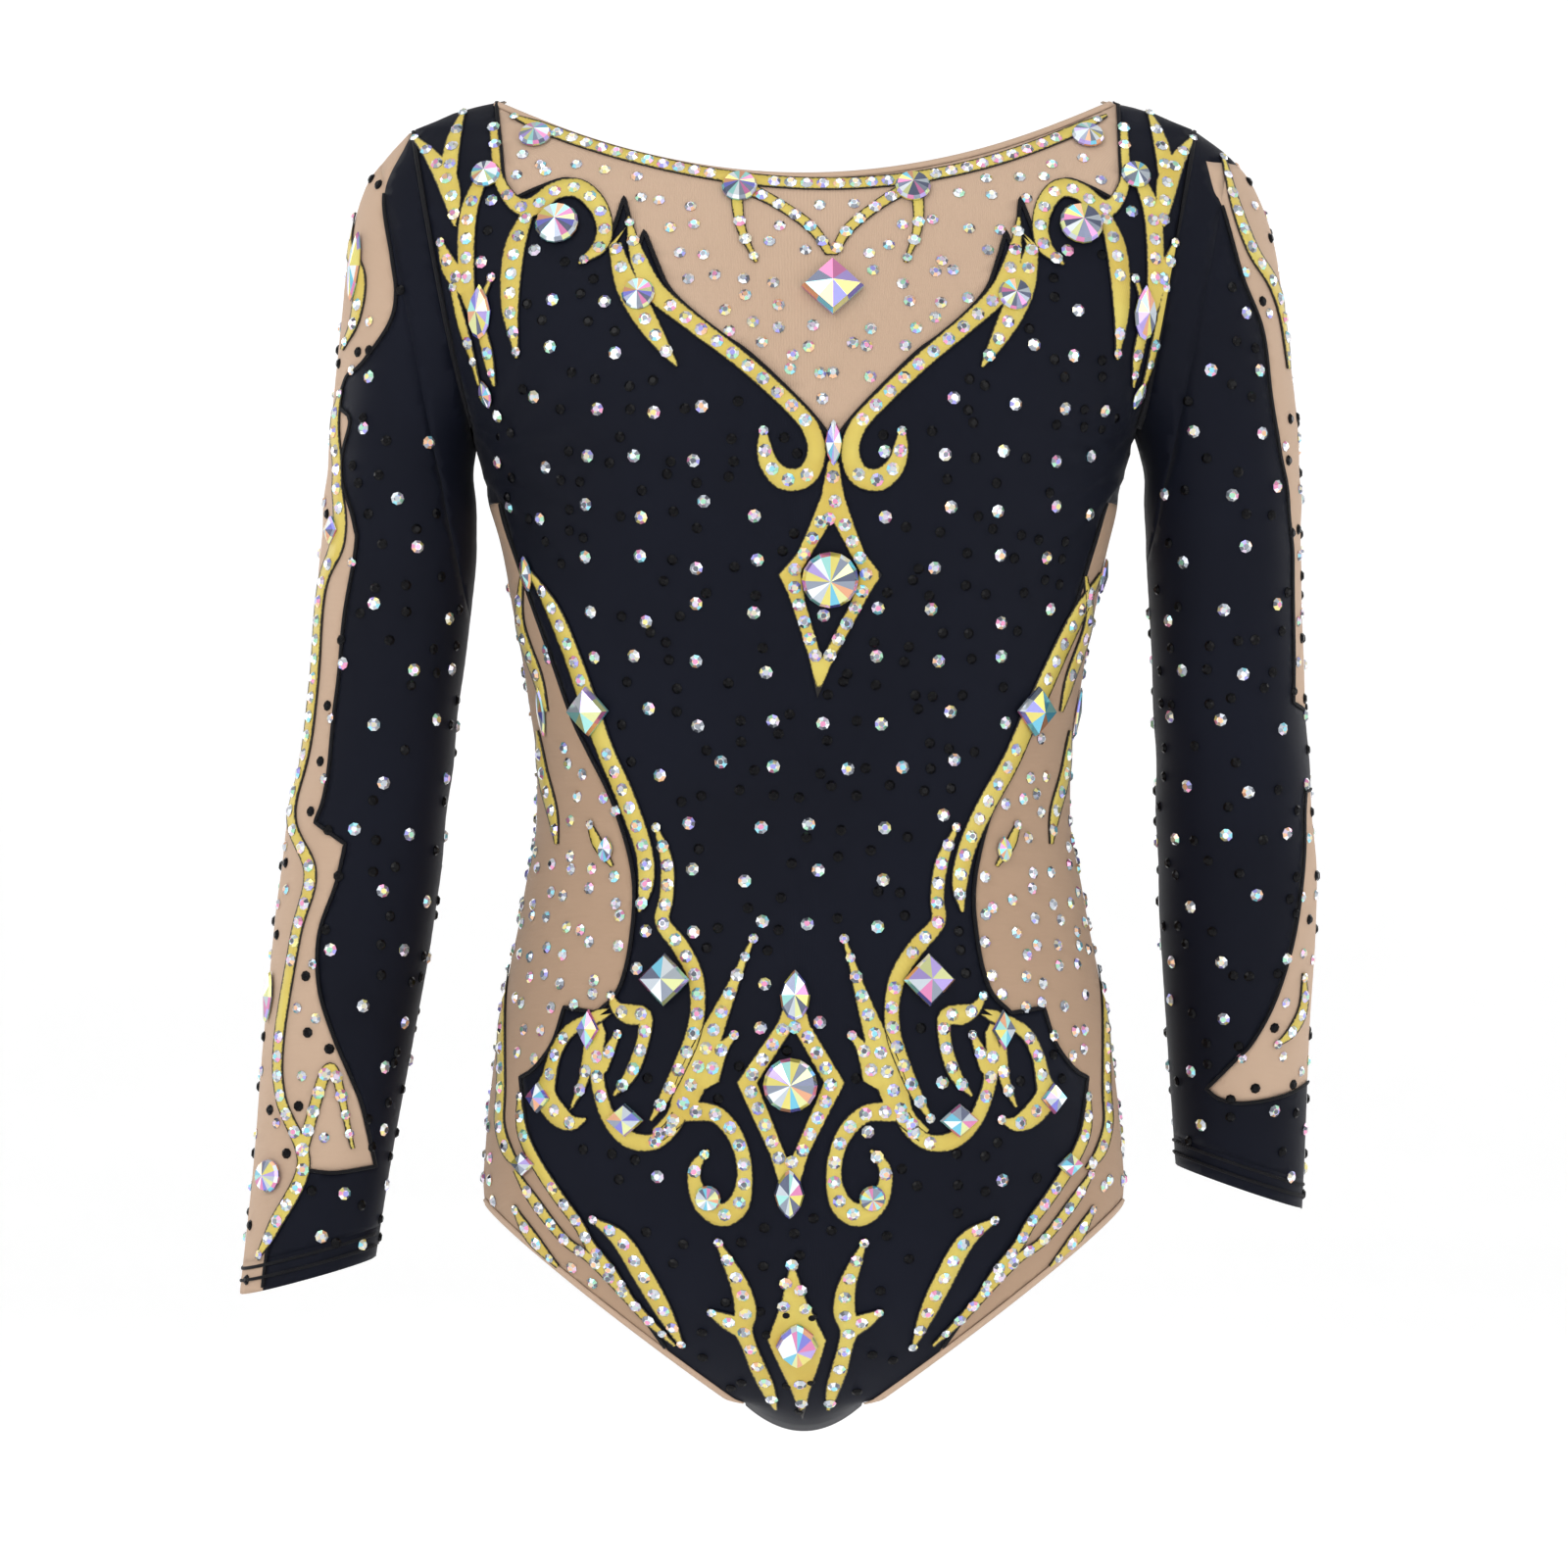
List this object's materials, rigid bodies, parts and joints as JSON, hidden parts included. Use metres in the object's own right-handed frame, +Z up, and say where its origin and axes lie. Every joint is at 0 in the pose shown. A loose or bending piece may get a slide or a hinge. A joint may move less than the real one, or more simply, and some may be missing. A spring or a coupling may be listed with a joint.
{
  "type": "gymnastics leotard",
  "caption": "Long-sleeved competition leotard of stretch fabric and skin-tone mesh, with raised yellow flame trim and faceted crystals.",
  "frame": {"origin": "middle of the shoulder line, where the dress form carries the garment", "axes": "+Z up, the front faces -Y, +X to the right of someone looking at the front"},
  "size_m": [0.4614, 0.1939, 0.5689],
  "materials": {
    "black_stretch_fabric": "blue-black stretch knit with a soft sheen",
    "nude_mesh": "skin-tone power mesh",
    "yellow_trim": "lemon to amber printed trim with stitched edges",
    "elastic": "flat knitted elastic",
    "lining": "smooth knit lining",
    "crystal": "faceted iridescent flat-back crystal"
  },
  "bodies": {
    "torso": {"back_panel": "black_stretch_fabric", "back_yoke_mesh": "nude_mesh", "centre_drop": "yellow_trim", "crotch_drop": "yellow_trim", "crotch_flame_left": "yellow_trim", "crotch_flame_right": "yellow_trim", "crystal_belly_round": "crystal", "crystal_bust_round_left": "crystal", "crystal_bust_round_right": "crystal", "crystal_chest_round": "crystal", "crystal_crotch_navette": "crystal", "crystal_hip_square_left": "crystal", "crystal_hip_square_right": "crystal", "crystal_lower_pear": "crystal", "crystal_neck_round_left": "crystal", "crystal_neck_round_right": "crystal", "crystal_upper_pear": "crystal", "crystal_waist_square_left": "crystal", "crystal_waist_square_right": "crystal", "crystal_yoke_navette": "crystal", "crystal_yoke_round_left": "crystal", "crystal_yoke_round_right": "crystal", "crystal_yoke_square": "crystal", "diamond_frame": "yellow_trim", "front_panel": "black_stretch_fabric", "front_yoke_mesh": "nude_mesh", "gusset_lining": "lining", "hip_swoosh_left": "yellow_trim", "hip_swoosh_right": "yellow_trim", "hip_vine_left": "yellow_trim", "hip_vine_right": "yellow_trim", "leg_elastic_left": "elastic", "leg_elastic_right": "elastic", "leg_strip_left": "yellow_trim", "leg_strip_right": "yellow_trim", "neck_elastic": "elastic", "neck_trim": "yellow_trim", "shoulder_flame_left": "yellow_trim", "shoulder_flame_right": "yellow_trim", "side_mesh_left": "nude_mesh", "side_mesh_right": "nude_mesh", "side_vine_left": "yellow_trim", "side_vine_right": "yellow_trim", "yoke_scroll_left": "yellow_trim", "yoke_scroll_right": "yellow_trim", "yoke_swoosh_left": "yellow_trim", "yoke_swoosh_right": "yellow_trim"},
    "sleeve_left": {"crystal_sleeve_pear": "crystal", "crystal_sleeve_round": "crystal", "sleeve_left_cuff": "black_stretch_fabric", "sleeve_left_mesh": "nude_mesh", "sleeve_left_panel": "black_stretch_fabric", "sleeve_left_vine": "yellow_trim"},
    "sleeve_right": {"sleeve_right_cuff": "black_stretch_fabric", "sleeve_right_mesh_lower": "nude_mesh", "sleeve_right_mesh_upper": "nude_mesh", "sleeve_right_panel": "black_stretch_fabric", "sleeve_right_vine_lower": "yellow_trim", "sleeve_right_vine_upper": "yellow_trim"}
  },
  "joints": [
    {"name": "sleeve_left_raise", "type": "hinge", "parent": "torso", "child": "sleeve_left", "pos_m": [-0.16715, 0, -0.0134], "axis": [0, 1, 0], "range_deg": [0, 60]},
    {"name": "sleeve_right_raise", "type": "hinge", "parent": "torso", "child": "sleeve_right", "pos_m": [0.16715, 0, -0.0134], "axis": [0, -1, 0], "range_deg": [0, 60]}
  ]
}
